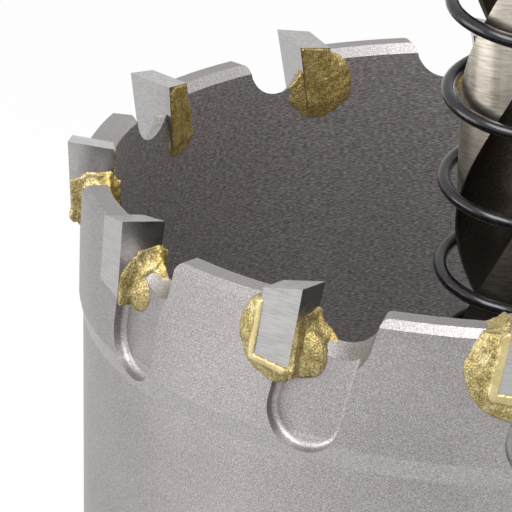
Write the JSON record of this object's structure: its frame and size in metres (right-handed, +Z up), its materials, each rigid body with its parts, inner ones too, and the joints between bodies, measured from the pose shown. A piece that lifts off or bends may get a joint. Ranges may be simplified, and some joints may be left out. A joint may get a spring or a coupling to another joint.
{
  "type": "carbide-tipped hole saw",
  "caption": "Deep steel cup with carbide teeth brazed round its rim, a central pilot drill in an ejector spring, and a shank for a drill chuck.",
  "frame": {"origin": "centre of the shank's lower end face", "axes": "+Z up the axis from the shank to the pilot drill's point; +X through the cutting corner of the first tip"},
  "size_m": [0.068, 0.068, 0.117],
  "materials": {
    "cup_steel": "bead-blasted satin steel",
    "carbide": "fine-ground tungsten carbide",
    "braze_metal": "grainy silver-brass braze as it froze",
    "drill_steel": "ground high-speed steel",
    "spring_steel": "glossy black oxide on spring wire",
    "arbor_steel": "turned bright steel",
    "nut_steel": "zinc-plated steel",
    "grub_steel": "black oxide"
  },
  "bodies": {
    "root": {"cup_body": "cup_steel", "arbor": "arbor_steel", "arbor_nut": "nut_steel", "grub_screw": "grub_steel", "pilot_drill": "drill_steel", "ejector_spring": "spring_steel", "carbide_tip_01": "carbide", "carbide_tip_02": "carbide", "carbide_tip_03": "carbide", "carbide_tip_04": "carbide", "carbide_tip_05": "carbide", "carbide_tip_06": "carbide", "carbide_tip_07": "carbide", "carbide_tip_08": "carbide", "carbide_tip_09": "carbide", "carbide_tip_10": "carbide", "carbide_tip_11": "carbide", "carbide_tip_12": "carbide", "braze_01": "braze_metal", "braze_02": "braze_metal", "braze_03": "braze_metal", "braze_04": "braze_metal", "braze_05": "braze_metal", "braze_06": "braze_metal", "braze_07": "braze_metal", "braze_08": "braze_metal", "braze_09": "braze_metal", "braze_10": "braze_metal", "braze_11": "braze_metal", "braze_12": "braze_metal"}
  },
  "joints": []
}
